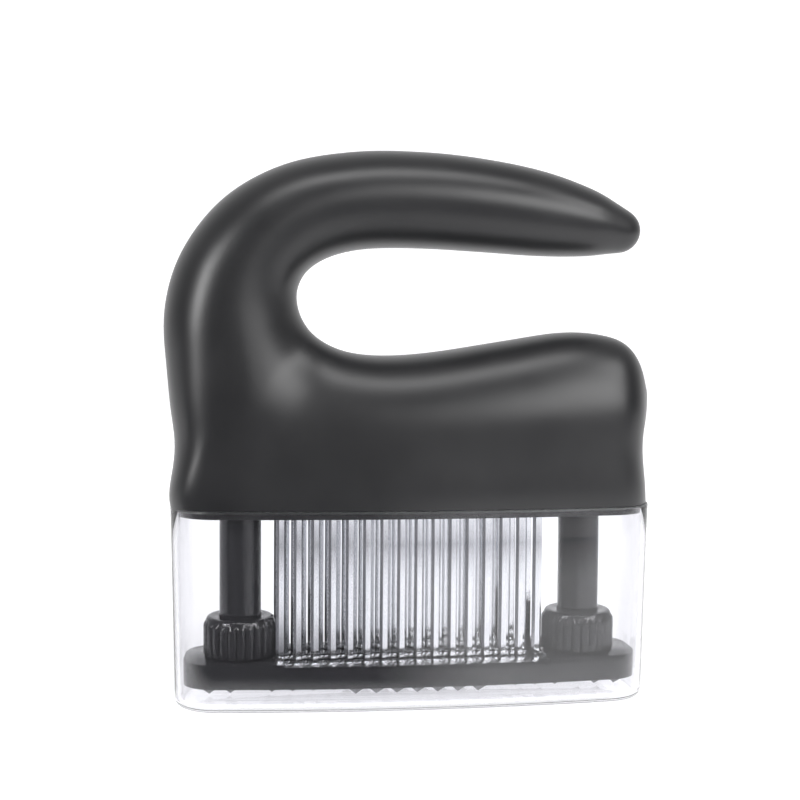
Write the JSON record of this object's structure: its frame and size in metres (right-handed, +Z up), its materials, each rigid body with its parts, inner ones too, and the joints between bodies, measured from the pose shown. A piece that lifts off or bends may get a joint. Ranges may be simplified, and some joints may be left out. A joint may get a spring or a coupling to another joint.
{
  "type": "blade meat tenderizer",
  "caption": "Blade meat tenderizer with a C shaped handle, rows of fine steel blades behind a sprung press plate on two guide posts, and a clear pull-off cover.",
  "frame": {"origin": "middle of the cover's underside, on the surface it stands on", "axes": "+Z up along the stroke, +X along the width towards the open end of the C, +Y to the rear"},
  "size_m": [0.147, 0.0412, 0.1652],
  "materials": {
    "handle": "satin",
    "press_parts": "glossy",
    "clear_cover": "clear",
    "blades": "polished",
    "springs": "satin",
    "screws": "satin"
  },
  "bodies": {
    "cover": {"cover": "clear_cover"},
    "handle": {"handle_shell_front": "handle", "handle_shell_rear": "handle", "shell_screws": "screws", "base_plate": "handle", "base_plate_screws": "screws", "blade_holder": "press_parts", "blade_clamp_plate": "press_parts", "blade_clamp_screws": "screws", "blade_row_front": "blades", "blade_row_middle": "blades", "blade_row_rear": "blades", "spring_rod_left": "press_parts", "spring_rod_right": "press_parts", "return_spring_left": "springs", "return_spring_right": "springs"},
    "press": {"press_plate": "press_parts", "guide_post_left": "press_parts", "guide_post_right": "press_parts", "post_stop_ring_left": "springs", "post_stop_ring_right": "springs"},
    "nut_left": {"knurled_nut_left": "press_parts"},
    "nut_right": {"knurled_nut_right": "press_parts"}
  },
  "joints": [
    {"name": "cover_pull", "type": "slide", "parent": "cover", "child": "handle", "axis": [0, 0, 1], "range_m": [0, 0.07]},
    {"name": "press_stroke", "type": "slide", "parent": "handle", "child": "press", "axis": [0, 0, 1], "range_m": [0, 0.026], "stiffness_N_per_m": 1000, "springref_m": -0.015, "deforming": ["return_spring_left", "return_spring_right"]},
    {"name": "left_nut_turn", "type": "hinge", "parent": "press", "child": "nut_left", "pos_m": [-0.0518, 0, 0.02], "axis": [0, 0, 1], "range_deg": [0, 360]},
    {"name": "right_nut_turn", "type": "hinge", "parent": "press", "child": "nut_right", "pos_m": [0.0518, 0, 0.02], "axis": [0, 0, 1], "range_deg": [0, 360]}
  ]
}
